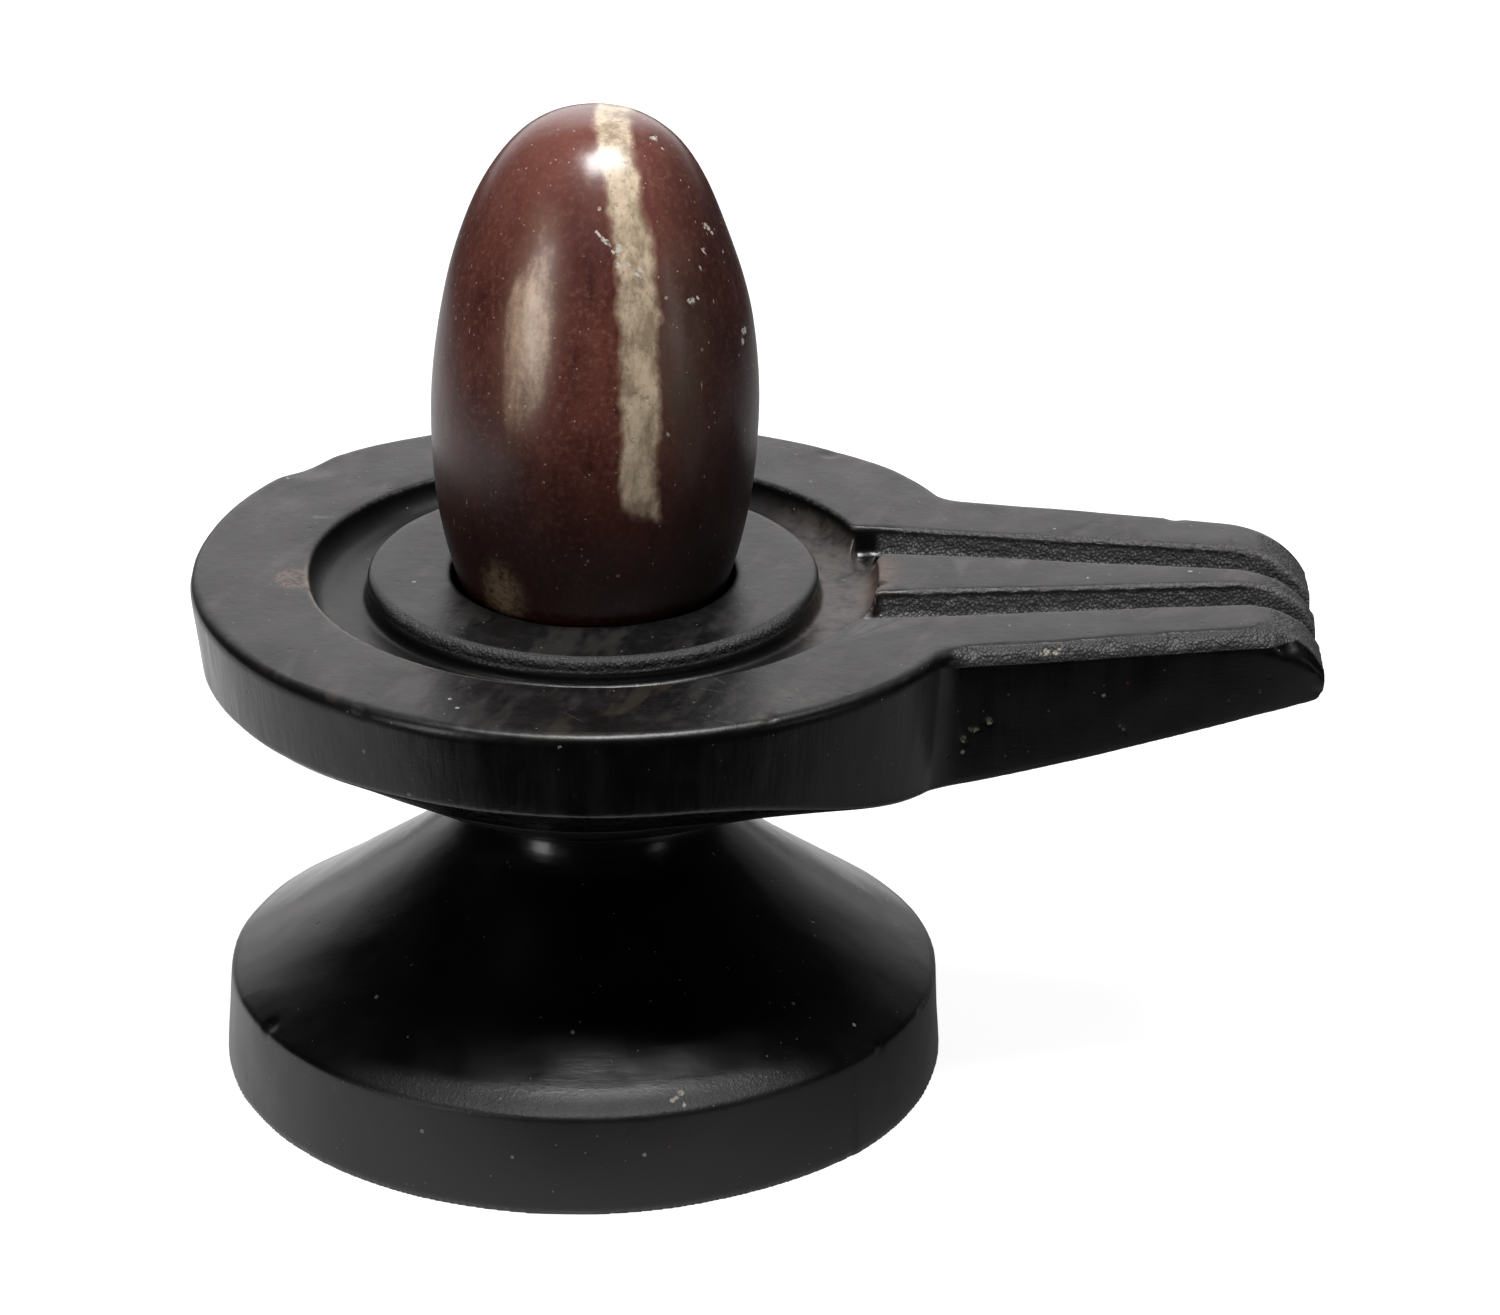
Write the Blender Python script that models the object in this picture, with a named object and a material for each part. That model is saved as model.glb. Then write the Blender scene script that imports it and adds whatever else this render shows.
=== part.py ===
"""A small shiva lingam: an egg-shaped river stone standing in the socket of a carved black stone base.

The base is one carved piece: a round foot, a cone that rises to a short neck, and a round plate with a water
channel around a raised collar, which drains along two grooves over a long spout. The origin is the middle of
the underside, +Z is up and the spout points along +X. All sizes are in metres.
"""

import math

import bmesh
import bpy

MM = 0.001

# Foot and neck, from the ground up
FOOT_RADIUS = 36.8 * MM
BAND_HEIGHT = 10.0 * MM
BAND_TILT = 0.6 * MM
BAND_DRAFT = 0.5 * MM
GROUND_BEVEL = 0.5 * MM
CONE_RISE = 15.2 * MM
CONE_TOP_RADIUS = 15.2 * MM
NECK_RADIUS = 12.6 * MM
NECK_HEIGHT = 8.1 * MM
PLATE_AHEAD = 1.0 * MM

# Plate, from the neck up
PLATE_RADIUS = 40.2 * MM
BOWL_RADIUS = 21.0 * MM
BOWL_LIP = 0.5 * MM
BOWL_RISE = 11.4 * MM
WALL_HEIGHT = 8.8 * MM
WALL_DRAFT = 0.9 * MM
RIM_ROUND = 1.1 * MM

# Water channel, collar and socket in the top of the plate
CHANNEL_RADIUS = 28.5 * MM
CHANNEL_DEPTH = 2.8 * MM
COLLAR_RADIUS = 22.6 * MM
COVE = 0.7 * MM
EDGE_ROUND = 0.4 * MM
SOCKET_DEPTH = 14.7 * MM
SOCKET_CLEARANCE = 0.55 * MM
SOCKET_CORNER = 4.0 * MM
REST_GAP = 0.3 * MM

# Spout: distances are from the plate's axis, widths are half widths
SPOUT_REACH = 73.0 * MM
ROOT_AT = 35.0 * MM
ROOT_HALF_WIDTH = 19.8 * MM
TIP_HALF_WIDTH = 12.8 * MM
ROOT_FILLET = 3.5 * MM
TIP_CORNER = 1.6 * MM
ROOT_DEPTH = 14.9 * MM
TIP_DEPTH = 7.5 * MM
KEEL_SWEEP = 1.2
FADE_FROM = 0.85
FADE_TO = 2.6
EDGE_BEVEL = 0.5 * MM
NOSE_LENGTH = 11.5 * MM
NOSE_OVERRUN = 0.4 * MM
NOSE_FLAT = 0.3 * MM

# The two grooves on either side of the spout's middle ridge
RIDGE_ROOT_HALF = 5.2 * MM
RIDGE_TIP_HALF = 1.1 * MM
GROOVE_ROOT_HALF = 11.7 * MM
GROOVE_TIP_HALF = 6.1 * MM
GROOVE_DEPTH = 2.9 * MM
GROOVE_DEPTH_AT_TIP = 1.0 * MM
GROOVE_STEP = 0.15 * MM

# River stone
STONE_RADIUS = 16.3 * MM
STONE_UPPER = 30.2 * MM
STONE_LOWER = 32.4 * MM
UPPER_TAPER = 1.75
UPPER_BLUNTNESS = 2.5
LOWER_BLUNTNESS = 2.05

# Fineness of the facets
STEP_ANGLE = math.radians(4.0)
CURVE_STEPS = 4
NOSE_STEPS = 9
STONE_SEGMENTS = 44
STONE_RINGS = 24

# Heights and places that follow
CONE_TOP = BAND_HEIGHT + CONE_RISE
BOWL_BOTTOM = CONE_TOP + NECK_HEIGHT
WALL_BOTTOM = BOWL_BOTTOM + BOWL_RISE
PLATE_TOP = WALL_BOTTOM + WALL_HEIGHT
CHANNEL_FLOOR = PLATE_TOP - CHANNEL_DEPTH
SOCKET_FLOOR = PLATE_TOP - SOCKET_DEPTH
STONE_BOTTOM = SOCKET_FLOOR + REST_GAP
STONE_MIDDLE = STONE_BOTTOM + STONE_LOWER
TIP_BOTTOM = PLATE_TOP - TIP_DEPTH


def mix(start, end, share):
    return start + (end - start) * share


def smooth_share(value, start, end):
    """0 before start, 1 after end and an S-curve between them."""
    share = min(1.0, max(0.0, (value - start) / (end - start)))
    return share * share * (3 - 2 * share)


def stone_radius(height):
    """The river stone's radius at a height above the ground."""
    if height > STONE_MIDDLE:
        share = min(1.0, (height - STONE_MIDDLE) / STONE_UPPER)
        return STONE_RADIUS * (1 - share**UPPER_TAPER) ** (1 / UPPER_BLUNTNESS)
    share = min(1.0, (STONE_MIDDLE - height) / STONE_LOWER)
    return STONE_RADIUS * (1 - share**LOWER_BLUNTNESS) ** (1 / LOWER_BLUNTNESS)


def arc(centre, radius, start, end, steps):
    """Points on an arc, both ends included."""
    angles = [mix(start, end, i / steps) for i in range(steps + 1)]
    return [(centre[0] + radius * math.cos(a), centre[1] + radius * math.sin(a)) for a in angles]


def half_outline():
    """Half of the plate's outline, seen from above, from the tip round the +Y side to the back."""
    root = (ROOT_AT, ROOT_HALF_WIDTH)
    tip = (SPOUT_REACH, TIP_HALF_WIDTH)
    length = math.dist(root, tip)
    along = ((tip[0] - root[0]) / length, (tip[1] - root[1]) / length)
    out = (-along[1], along[0])

    # Convex corner between the end of the spout and its side
    corner_x = SPOUT_REACH - TIP_CORNER
    travel = (corner_x - root[0] + TIP_CORNER * out[0]) / along[0]
    corner = (corner_x, root[1] + travel * along[1] - TIP_CORNER * out[1])
    side_angle = math.atan2(out[1], out[0])

    # Concave fillet between the spout's side and the round plate
    base = (root[0] + ROOT_FILLET * out[0], root[1] + ROOT_FILLET * out[1])
    half_b = base[0] * along[0] + base[1] * along[1]
    rest = base[0] ** 2 + base[1] ** 2 - (PLATE_RADIUS + ROOT_FILLET) ** 2
    travel = -half_b + math.sqrt(half_b**2 - rest)
    hollow = (base[0] + travel * along[0], base[1] + travel * along[1])
    hollow_angle = math.atan2(hollow[1], hollow[0])

    points = [(SPOUT_REACH, corner[1] * i / CURVE_STEPS) for i in range(CURVE_STEPS)]
    points += arc(corner, TIP_CORNER, 0.0, side_angle, CURVE_STEPS)
    side_start = points[-1]
    side_end = (hollow[0] - ROOT_FILLET * out[0], hollow[1] - ROOT_FILLET * out[1])
    first, last = (math.atan2(p[1], p[0]) for p in (side_start, side_end))
    count = max(2, round((last - first) / STEP_ANGLE))
    for i in range(1, count):
        # Where a line at this angle from the axis crosses the straight side
        angle = mix(first, last, i / count)
        across = along[0] * math.sin(angle) - along[1] * math.cos(angle)
        reach = (along[0] * root[1] - along[1] * root[0]) / across
        points.append((reach * math.cos(angle), reach * math.sin(angle)))
    points += arc(hollow, ROOT_FILLET, side_angle + math.pi, hollow_angle + math.pi, CURVE_STEPS)
    steps = round((math.pi - hollow_angle) / STEP_ANGLE)
    points += arc((0.0, 0.0), PLATE_RADIUS, hollow_angle, math.pi, steps)[1:]
    return points


def plate_outline():
    """The whole outline, anticlockwise from the middle of the spout's end, round the plate's own axis."""
    half = half_outline()
    return half + [(x, -y) for x, y in half[-2:0:-1]]


def inset(outline, distance):
    """The outline drawn inwards by a distance, each point along its own normal."""
    moved = []
    for i, (x, y) in enumerate(outline):
        before, after = outline[i - 1], outline[(i + 1) % len(outline)]
        run, rise = after[0] - before[0], after[1] - before[1]
        length = math.hypot(run, rise)
        moved.append((x - distance * rise / length, y + distance * run / length))
    return moved


def base_rings():
    """Every ring of the base, from the ground round to the socket's floor, as lists of (x, y, z)."""
    outline = plate_outline()
    angles = [math.atan2(y, x) for x, y in outline]
    rings = []

    def round_ring(radius, height, ahead, tilt=0.0):
        ring = []
        for angle in angles:
            x, y = radius * math.cos(angle), radius * math.sin(angle)
            ring.append((ahead + x, y, height - tilt * math.sin(angle)))
        rings.append(ring)

    def outline_ring(distance, height):
        rings.append([(PLATE_AHEAD + x, y, height) for x, y in inset(outline, distance)])

    # Foot: a band that draws in slightly, with a softened top edge that is higher in front
    band_top = FOOT_RADIUS - BAND_DRAFT
    round_ring(FOOT_RADIUS - GROUND_BEVEL, 0.0, 0.0)
    round_ring(FOOT_RADIUS, GROUND_BEVEL, 0.0)
    round_ring(band_top, BAND_HEIGHT - EDGE_ROUND, 0.0, BAND_TILT)
    round_ring(band_top - EDGE_ROUND, BAND_HEIGHT + EDGE_ROUND / 2, 0.0, BAND_TILT)

    # Cone, which leans towards the plate's axis, and a hollow turn into the neck
    for share in (1 / 3, 2 / 3, 1.0):
        radius = mix(band_top, CONE_TOP_RADIUS, share)
        tilt = BAND_TILT * (1 - share)
        round_ring(radius, BAND_HEIGHT + CONE_RISE * share, PLATE_AHEAD * share / 2, tilt)
    for i in range(1, CURVE_STEPS + 1):
        share = i / CURVE_STEPS
        radius = NECK_RADIUS + (CONE_TOP_RADIUS - NECK_RADIUS) * (1 - share) ** 2
        round_ring(radius, CONE_TOP + NECK_HEIGHT * share / 2, PLATE_AHEAD * (1 + share) / 2)

    # Neck and the thin lip under the bowl
    round_ring(NECK_RADIUS, BOWL_BOTTOM - BOWL_LIP, PLATE_AHEAD)
    round_ring(BOWL_RADIUS - BOWL_LIP, BOWL_BOTTOM - BOWL_LIP / 2, PLATE_AHEAD)
    round_ring(BOWL_RADIUS, BOWL_BOTTOM, PLATE_AHEAD)

    # Bowl: it ends at the plate's wall, and runs lower where the spout's deep sides begin
    root_angle = math.atan2(ROOT_HALF_WIDTH, ROOT_AT)
    fade_start, fade_end = FADE_FROM * root_angle, FADE_TO * root_angle
    under = inset(outline, WALL_DRAFT + EDGE_BEVEL)
    side = inset(outline, WALL_DRAFT)
    bowl_end, wall_start = [], []
    for (x, y), (side_x, side_y), angle in zip(under, side, angles):
        along = max(0.0, (x - ROOT_AT) / (SPOUT_REACH - ROOT_AT))
        keel = PLATE_TOP - mix(ROOT_DEPTH, TIP_DEPTH, along**KEEL_SWEEP)
        height = mix(keel, WALL_BOTTOM, smooth_share(abs(angle), fade_start, fade_end))
        bowl_end.append((PLATE_AHEAD + x, y, height - EDGE_BEVEL / 2))
        wall_start.append((PLATE_AHEAD + side_x, side_y, height + EDGE_BEVEL / 2))
    rings.append(bowl_end)
    rings.append(wall_start)

    # Wall and rounded rim
    for i in range(CURVE_STEPS):
        turned = math.pi / 2 * i / (CURVE_STEPS - 1)
        outline_ring(RIM_ROUND * (1 - math.cos(turned)), PLATE_TOP - RIM_ROUND * (1 - math.sin(turned)))

    # Channel with coved corners, then the collar
    round_ring(CHANNEL_RADIUS + EDGE_ROUND, PLATE_TOP, PLATE_AHEAD)
    round_ring(CHANNEL_RADIUS, PLATE_TOP - EDGE_ROUND, PLATE_AHEAD)
    round_ring(CHANNEL_RADIUS - COVE / 3, CHANNEL_FLOOR + COVE, PLATE_AHEAD)
    round_ring(CHANNEL_RADIUS - 1.5 * COVE, CHANNEL_FLOOR, PLATE_AHEAD)
    round_ring(COLLAR_RADIUS + 1.2 * COVE, CHANNEL_FLOOR, PLATE_AHEAD)
    round_ring(COLLAR_RADIUS + COVE / 4, CHANNEL_FLOOR + COVE, PLATE_AHEAD)
    round_ring(COLLAR_RADIUS, PLATE_TOP - EDGE_ROUND, PLATE_AHEAD)
    round_ring(COLLAR_RADIUS - EDGE_ROUND, PLATE_TOP, PLATE_AHEAD)

    # Socket for the stone
    socket = stone_radius(PLATE_TOP) + SOCKET_CLEARANCE
    round_ring(socket + EDGE_ROUND, PLATE_TOP, PLATE_AHEAD)
    round_ring(socket, PLATE_TOP - EDGE_ROUND, PLATE_AHEAD)
    for i in range(CURVE_STEPS):
        turned = math.pi / 2 * i / (CURVE_STEPS - 1)
        radius = socket - SOCKET_CORNER * (1 - math.cos(turned))
        round_ring(radius, SOCKET_FLOOR + SOCKET_CORNER * (1 - math.sin(turned)), PLATE_AHEAD)
    return rings


def new_object(name, bm):
    """A mesh object made from a bmesh, which is used up."""
    bmesh.ops.recalc_face_normals(bm, faces=bm.faces)
    mesh = bpy.data.meshes.new(name)
    bm.to_mesh(mesh)
    bm.free()
    made = bpy.data.objects.new(name, mesh)
    bpy.context.scene.collection.objects.link(made)
    return made


def black_base():
    """The carved base: rings of points joined by faces, closed under the foot and in the socket."""
    bm = bmesh.new()
    loops = [[bm.verts.new(point) for point in ring] for ring in base_rings()]
    for lower, upper in zip(loops, loops[1:]):
        for i in range(len(lower)):
            bm.faces.new((lower[i - 1], lower[i], upper[i], upper[i - 1]))
    bm.faces.new(loops[0])
    bm.faces.new(loops[-1])
    return new_object("yoni_base", bm)


def prism(name, side_profile, inner_width, outer_width, coved=()):
    """A closed cutter: a side profile in X and Z, drawn out in Y between two widths that depend on X.

    coved holds the numbers of the profile's points whose run is coved along both sides.
    """
    bm = bmesh.new()
    loops = []
    for width in (inner_width, outer_width):
        loops.append([bm.verts.new((x, width(x), z)) for x, z in side_profile])
        bm.faces.new(loops[-1])
    for i in range(len(side_profile)):
        bm.faces.new((loops[0][i - 1], loops[0][i], loops[1][i], loops[1][i - 1]))
    corners = [bm.edges.get((loop[i], loop[i + 1])) for loop in loops for i in coved]
    bmesh.ops.bevel(bm, geom=corners, offset=COVE, segments=2, profile=0.5, affect="EDGES")
    cutter = new_object(name, bm)
    cutter.hide_render = True
    cutter.display_type = "WIRE"
    return cutter


def nose_curve(length, height, steps):
    """Points on a quarter ellipse from the spout's flat top down to its end."""
    start_x = PLATE_AHEAD + SPOUT_REACH - NOSE_LENGTH
    bottom = TIP_BOTTOM - NOSE_FLAT
    turns = [math.pi / 2 * (1 - i / steps) for i in range(steps + 1)]
    return [(start_x + length * math.cos(t), bottom + height * math.sin(t)) for t in turns]


def nose_cutter():
    """All that lies above the nose's curve. It starts a little above the flat top, to cross it cleanly."""
    curve = nose_curve(NOSE_LENGTH + NOSE_OVERRUN, PLATE_TOP - TIP_BOTTOM + NOSE_FLAT, NOSE_STEPS)
    lift = EDGE_ROUND / 4
    outside = curve[-1][0] + NOSE_LENGTH
    above = PLATE_TOP + NOSE_LENGTH
    profile = [(curve[0][0], curve[0][1] + lift), *curve[1:]]
    profile += [(outside, curve[-1][1]), (outside, above), (curve[0][0], above)]
    half = 2 * ROOT_HALF_WIDTH
    return prism("nose_cutter", profile, lambda x: -half, lambda x: half)


def groove_cutter(name, side):
    """One groove beside the ridge, from inside the channel over the nose. side is +1 or -1."""
    inner_end = PLATE_AHEAD + (CHANNEL_RADIUS + COLLAR_RADIUS) / 2
    outer_end = PLATE_AHEAD + SPOUT_REACH

    def width(root, tip):
        return lambda x: side * mix(root, tip, (x - inner_end) / (outer_end - inner_end))

    length = NOSE_LENGTH - GROOVE_DEPTH_AT_TIP
    curve = nose_curve(length, PLATE_TOP - TIP_BOTTOM + NOSE_FLAT - GROOVE_DEPTH, NOSE_STEPS)
    above = PLATE_TOP + GROOVE_DEPTH
    outside = outer_end + GROOVE_DEPTH
    below = TIP_BOTTOM - GROOVE_DEPTH
    profile = [(inner_end, above), (inner_end, CHANNEL_FLOOR + GROOVE_STEP), *curve]
    profile += [(curve[-1][0], below), (outside, below), (outside, above)]
    ridge = width(RIDGE_ROOT_HALF, RIDGE_TIP_HALF)
    lip = width(GROOVE_ROOT_HALF, GROOVE_TIP_HALF)
    return prism(name, profile, ridge, lip, range(1, len(curve) + 2))


def river_stone():
    """The egg-shaped stone: a sphere whose rings are moved to the stone's own profile."""
    bm = bmesh.new()
    bmesh.ops.create_uvsphere(bm, u_segments=STONE_SEGMENTS, v_segments=STONE_RINGS, radius=1.0)
    for vert in bm.verts:
        above = vert.co.z
        height = STONE_MIDDLE + above * (STONE_UPPER if above > 0 else STONE_LOWER)
        across = math.hypot(vert.co.x, vert.co.y)
        grown = stone_radius(height) / across if across > 1e-6 else 0.0
        vert.co = (PLATE_AHEAD + vert.co.x * grown, vert.co.y * grown, height)
    return new_object("lingam_stone", bm)


def cut(target, cutter):
    modifier = target.modifiers.new(cutter.name, "BOOLEAN")
    modifier.operation = "DIFFERENCE"
    modifier.solver = "EXACT"
    modifier.object = cutter


def finish(name, colour, roughness):
    material = bpy.data.materials.new(name)
    material.use_nodes = True
    shader = material.node_tree.nodes["Principled BSDF"]
    shader.inputs["Base Color"].default_value = (*colour, 1.0)
    shader.inputs["Roughness"].default_value = roughness
    shader.inputs["Metallic"].default_value = 0.0
    return material


def main():
    for old in list(bpy.data.objects):
        bpy.data.objects.remove(old)
    base = black_base()
    cut(base, nose_cutter())
    cut(base, groove_cutter("groove_cutter_left", 1))
    cut(base, groove_cutter("groove_cutter_right", -1))
    base.data.materials.append(finish("black_stone", (0.018, 0.018, 0.020), 0.38))
    base.data.shade_smooth()
    base.data.set_sharp_from_angle(angle=math.radians(30))
    stone = river_stone()
    stone.data.materials.append(finish("red_brown_stone", (0.115, 0.035, 0.028), 0.22))
    stone.data.shade_smooth()


main()
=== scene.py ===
# %% [markdown]
# # A small shiva lingam
#
# The object is two stones. A red-brown river stone, polished to an egg, stands loose in a socket.
# The socket is in a base that was turned and filed by hand out of one lump of black soapstone: a
# foot, a cone, a short neck and a round plate with a water channel, which drains over a long spout
# along two grooves.
#
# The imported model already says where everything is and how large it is. This script loads it as a
# fixed frame and builds the two stones again in it, with the soft edges, dents and finish that a
# solid made for measuring doesn't have. Everything is in metres, so sizes are written as
# millimetres times MM.

# %% Load the frame
import math

import bmesh
import bpy
import numpy as np
from mathutils import Matrix, Vector


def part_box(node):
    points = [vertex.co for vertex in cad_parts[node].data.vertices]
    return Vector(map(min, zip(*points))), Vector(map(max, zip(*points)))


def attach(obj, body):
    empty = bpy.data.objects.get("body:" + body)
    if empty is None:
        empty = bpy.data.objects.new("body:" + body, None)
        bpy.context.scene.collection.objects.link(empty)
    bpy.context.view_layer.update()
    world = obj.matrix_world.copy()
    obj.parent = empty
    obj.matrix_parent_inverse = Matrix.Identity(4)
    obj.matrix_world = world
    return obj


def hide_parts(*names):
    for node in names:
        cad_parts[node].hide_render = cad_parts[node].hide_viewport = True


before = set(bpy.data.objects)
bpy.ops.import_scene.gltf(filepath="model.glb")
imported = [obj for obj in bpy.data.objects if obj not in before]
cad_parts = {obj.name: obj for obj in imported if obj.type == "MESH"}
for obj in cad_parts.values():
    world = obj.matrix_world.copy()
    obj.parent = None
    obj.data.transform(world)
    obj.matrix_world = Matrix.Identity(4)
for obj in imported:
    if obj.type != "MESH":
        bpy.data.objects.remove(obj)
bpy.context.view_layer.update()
MM = 0.001

# %% [markdown]
# ## Sizes of the base
#
# The box of the CAD base gives the height of the plate, its radius and the place of its axis. The
# rest are the carver's own sizes, from the ground up. The plate stands a millimetre ahead of the
# foot, as on the real one.

# %% Sizes of the base
base_low, base_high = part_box("yoni_base")
PLATE_TOP = base_high.z
PLATE_RADIUS = base_high.y
PLATE_AHEAD = base_low.x + PLATE_RADIUS

FOOT_RADIUS = 36.8 * MM
FOOT_EDGE = 0.5 * MM
BAND_HEIGHT = 10.0 * MM
BAND_DRAFT = 0.5 * MM
BAND_TILT = 0.6 * MM
CONE_RISE = 15.2 * MM
CONE_SAG = 0.5 * MM
CONE_TOP_RADIUS = 15.2 * MM
NECK_RADIUS = 12.6 * MM
NECK_RISE = 4.0 * MM
BOWL_RADIUS = 21.0 * MM
BOWL_BOTTOM = 33.3 * MM
WALL_BOTTOM = 44.45 * MM
WALL_DRAFT = 0.9 * MM
RIM_ROUND = 1.1 * MM
CHANNEL_RADIUS = 28.5 * MM
CHANNEL_DEPTH = 2.8 * MM
COLLAR_RADIUS = 22.6 * MM
SOCKET_RADIUS = 14.1 * MM
SOCKET_DEPTH = 14.7 * MM
SOCKET_CORNER = 4.0 * MM
SPOUT_REACH = 73.0 * MM
ROOT_AT = 35.0 * MM
ROOT_HALF_WIDTH = 19.8 * MM
TIP_HALF_WIDTH = 12.8 * MM
ROOT_DEPTH = 14.9 * MM
TIP_DEPTH = 8.0 * MM
KEEL_SWEEP = 1.2
plate_sizes = {"top": PLATE_TOP, "radius": PLATE_RADIUS, "ahead": PLATE_AHEAD}
print("plate, in mm:", {name: round(length / MM, 2) for name, length in plate_sizes.items()})

# %% [markdown]
# ## Three small helpers
#
# An operator acts on whatever is selected, so each step starts by selecting one object and nothing
# else. Modifiers are applied at once, because the next step works on the shape that they leave.

# %% Selecting, adding and applying
def select_only(thing):
    if bpy.context.mode != "OBJECT":
        bpy.ops.object.mode_set(mode="OBJECT")
    bpy.ops.object.select_all(action="DESELECT")
    thing.select_set(True)
    bpy.context.view_layer.objects.active = thing


def add_mesh(operator, name, **settings):
    bpy.ops.object.select_all(action="DESELECT")
    operator(**settings)
    bpy.context.object.name = name
    return bpy.context.object


def apply_modifier(thing, kind, **settings):
    select_only(thing)
    modifier = thing.modifiers.new(kind.title(), kind)
    for name, value in settings.items():
        setattr(modifier, name, value)
    bpy.ops.object.modifier_apply(modifier=modifier.name)


# %% [markdown]
# ## The outline of the plate, seen from above
#
# Seen from the plate's axis, the outline is one distance for each angle: the radius of the disc, or
# the distance to the spout where that is larger. The spout is bounded by two tapering sides and a
# straight end. Taking a *soft* larger or smaller of two distances rounds the corner between them,
# so the hollow where the spout leaves the disc and the corners of its end come out rounded, as a
# file leaves them. The disc itself isn't quite true: it swells by about a millimetre in two places
# on the far side.

# %% The outline
ROOT_FILLET = 1.8 * MM
# Each swell is its angle in degrees, its width in degrees and its height in millimetres
SWELLS = [(42, 15.5, 1.2), (142, 24, 0.85)]
TIP_CORNER = 1.0 * MM
FINE_ANGLE = math.radians(0.4)
COARSE_ANGLE = math.radians(1.0)
SPOUT_ANGLE = math.radians(40)
LEAST_COSINE = 1e-3


def soft_smaller(a, b, reach):
    """The smaller of two values, rounded off where they are within reach of each other."""
    blend = np.clip(0.5 + 0.5 * (b - a) / reach, 0.0, 1.0)
    return b + (a - b) * blend - reach * blend * (1 - blend)


fine = np.arange(-SPOUT_ANGLE, SPOUT_ANGLE, FINE_ANGLE)
coarse = np.arange(SPOUT_ANGLE, 2 * math.pi - SPOUT_ANGLE, COARSE_ANGLE)
angles = np.concatenate([fine, coarse])
cosines, sines = np.cos(angles), np.sin(angles)

taper = (ROOT_HALF_WIDTH - TIP_HALF_WIDTH) / (SPOUT_REACH - ROOT_AT)
ahead = np.maximum(cosines, LEAST_COSINE)
to_end = np.where(cosines > 0, SPOUT_REACH / ahead, 0.0)
to_side = (ROOT_HALF_WIDTH + taper * ROOT_AT) / (np.abs(sines) + taper * ahead)
to_spout = np.where(cosines > 0, soft_smaller(to_end, to_side, TIP_CORNER), 0.0)
swollen = np.full_like(angles, PLATE_RADIUS)
for middle, width, rise in SWELLS:
    swollen += rise * MM * np.exp(-(((np.degrees(angles) - middle) / width) ** 2))
distance = -soft_smaller(-to_spout, -swollen, ROOT_FILLET)
outline = distance[:, None] * np.column_stack([cosines, sines])
along = np.roll(outline, -1, axis=0) - np.roll(outline, 1, axis=0)
outwards = np.column_stack([along[:, 1], -along[:, 0]]) / np.linalg.norm(along, axis=1)[:, None]
print(len(outline), "points, spout reaches", round(distance.max() / MM, 1), "mm from the axis")

# %% [markdown]
# ## The rings of the base
#
# A turned and filed shape is a stack of outlines. Below the plate and inside it they are circles,
# and at the plate's wall they follow the outline above. Each function gives one ring of points with
# the same angles, so that one ring can later be extruded into the next.

# %% Ring makers
def round_ring(radius, height, ahead=PLATE_AHEAD, tilt=0.0):
    return np.column_stack([ahead + radius * cosines, radius * sines, height - tilt * sines])


def edge_ring(inset, height):
    moved = outline - np.broadcast_to(inset, len(outline))[:, None] * outwards
    heights = np.broadcast_to(height, len(moved))
    return np.column_stack([PLATE_AHEAD + moved[:, 0], moved[:, 1], heights])


def smooth_share(value, start, end):
    share = np.clip((value - start) / (end - start), 0.0, 1.0)
    return share * share * (3 - 2 * share)


# %% [markdown]
# The plate's wall is about nine millimetres high, but the spout's sides are deeper, so the lower
# edge of the wall sinks as it comes round to the spout. Under the spout it follows the keel, which
# rises towards the tip. The foot has a small flat at its front right.

# %% Foot, cone, neck and bowl
FOOT_FLAT = 0.5 * MM
FLAT_ANGLE, FLAT_WIDTH = 300, 17
flat = FOOT_FLAT * np.exp(-(((np.degrees(angles) - FLAT_ANGLE) / FLAT_WIDTH) ** 2))
band_top = FOOT_RADIUS - BAND_DRAFT
rings = [round_ring(FOOT_RADIUS - FOOT_EDGE - flat, 0.0, 0.0)]
rings.append(round_ring(FOOT_RADIUS - flat, FOOT_EDGE, 0.0))
# The band's rounded upper edge: how far each ring is inside it and above it, in millimetres
for inside, above in ((0.0, -0.3), (0.3, 0.1)):
    rings.append(round_ring(band_top - inside * MM - flat / 2, BAND_HEIGHT + above * MM, 0.0, BAND_TILT))
for share in np.linspace(0.1, 1.0, 10):
    radius = band_top + (CONE_TOP_RADIUS - band_top) * share
    height = BAND_HEIGHT + CONE_RISE * share - CONE_SAG * 4 * share * (1 - share)
    rings.append(round_ring(radius, height, PLATE_AHEAD * share / 2, BAND_TILT * (1 - share)))

neck_start = BAND_HEIGHT + CONE_RISE
for share in np.linspace(0.2, 1.0, 5):
    radius = NECK_RADIUS + (CONE_TOP_RADIUS - NECK_RADIUS) * (1 - share) ** 2
    rings.append(round_ring(radius, neck_start + NECK_RISE * share, PLATE_AHEAD * (1 + share) / 2))
# From the neck out to the bowl's edge: a radius, how far the ring is outside it and how far below the edge
bowl = [(NECK_RADIUS, 0, 0.8), (NECK_RADIUS, 0.5, 0.4), (BOWL_RADIUS, -0.5, 0.2), (BOWL_RADIUS, 0, 0)]
for radius, outside, below in bowl:
    rings.append(round_ring(radius + outside * MM, BOWL_BOTTOM - below * MM))

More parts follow.
